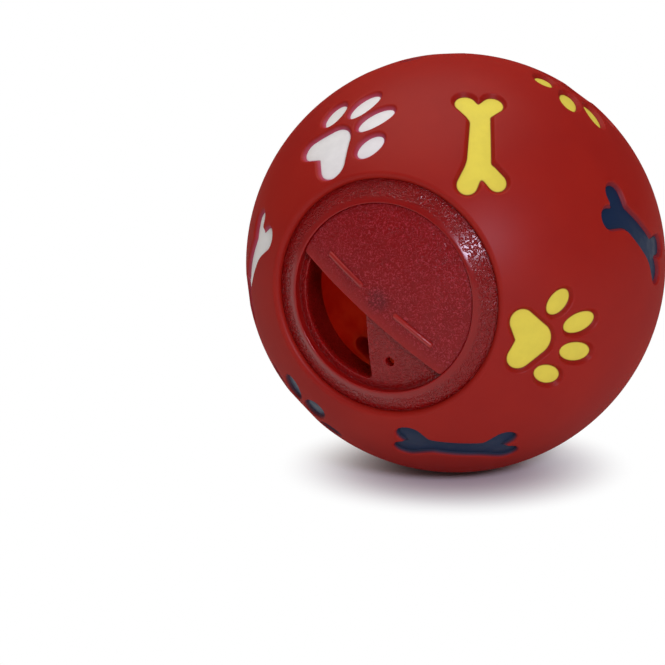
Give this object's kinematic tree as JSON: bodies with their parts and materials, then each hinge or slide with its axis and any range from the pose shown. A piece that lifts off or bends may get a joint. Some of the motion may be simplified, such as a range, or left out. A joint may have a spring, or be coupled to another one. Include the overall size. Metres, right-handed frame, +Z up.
{
  "type": "treat ball",
  "caption": "Hollow soft ball for pet treats, with sunk painted paw and bone figures and a snap-in closure whose turning dial opens a window.",
  "frame": {"origin": "centre of the ball", "axes": "-Y looks out of the mouth along its axis, +Z is up as the ball lies in the picture, +X to the right seen from the mouth's side"},
  "size_m": [0.075, 0.0723, 0.075],
  "materials": {
    "soft_vinyl": "satin",
    "closure_plastic": "fine grain",
    "dial_plastic": "fine grain",
    "paint_white": "satin paint",
    "paint_yellow": "satin paint",
    "paint_blue": "satin paint"
  },
  "bodies": {
    "ball": {"ball_shell": "soft_vinyl", "mouth_collar": "closure_plastic", "paw_white_front": "paint_white", "bone_yellow_front": "paint_yellow", "paw_yellow_front": "paint_yellow", "bone_blue_front": "paint_blue", "paw_blue_front": "paint_blue", "bone_white_front": "paint_white", "bone_blue_side": "paint_blue", "paw_yellow_side": "paint_yellow", "bone_white_side": "paint_white", "paw_blue_side": "paint_blue", "bone_yellow_side": "paint_yellow", "paw_white_side": "paint_white", "bone_yellow_back": "paint_yellow", "paw_white_back": "paint_white", "paw_blue_back": "paint_blue"},
    "dial": {"dial": "dial_plastic"}
  },
  "joints": [
    {"name": "dial_turn", "type": "hinge", "parent": "ball", "child": "dial", "pos_m": [0, -0.0325, 0], "axis": [0, -1, 0], "continuous": true}
  ]
}
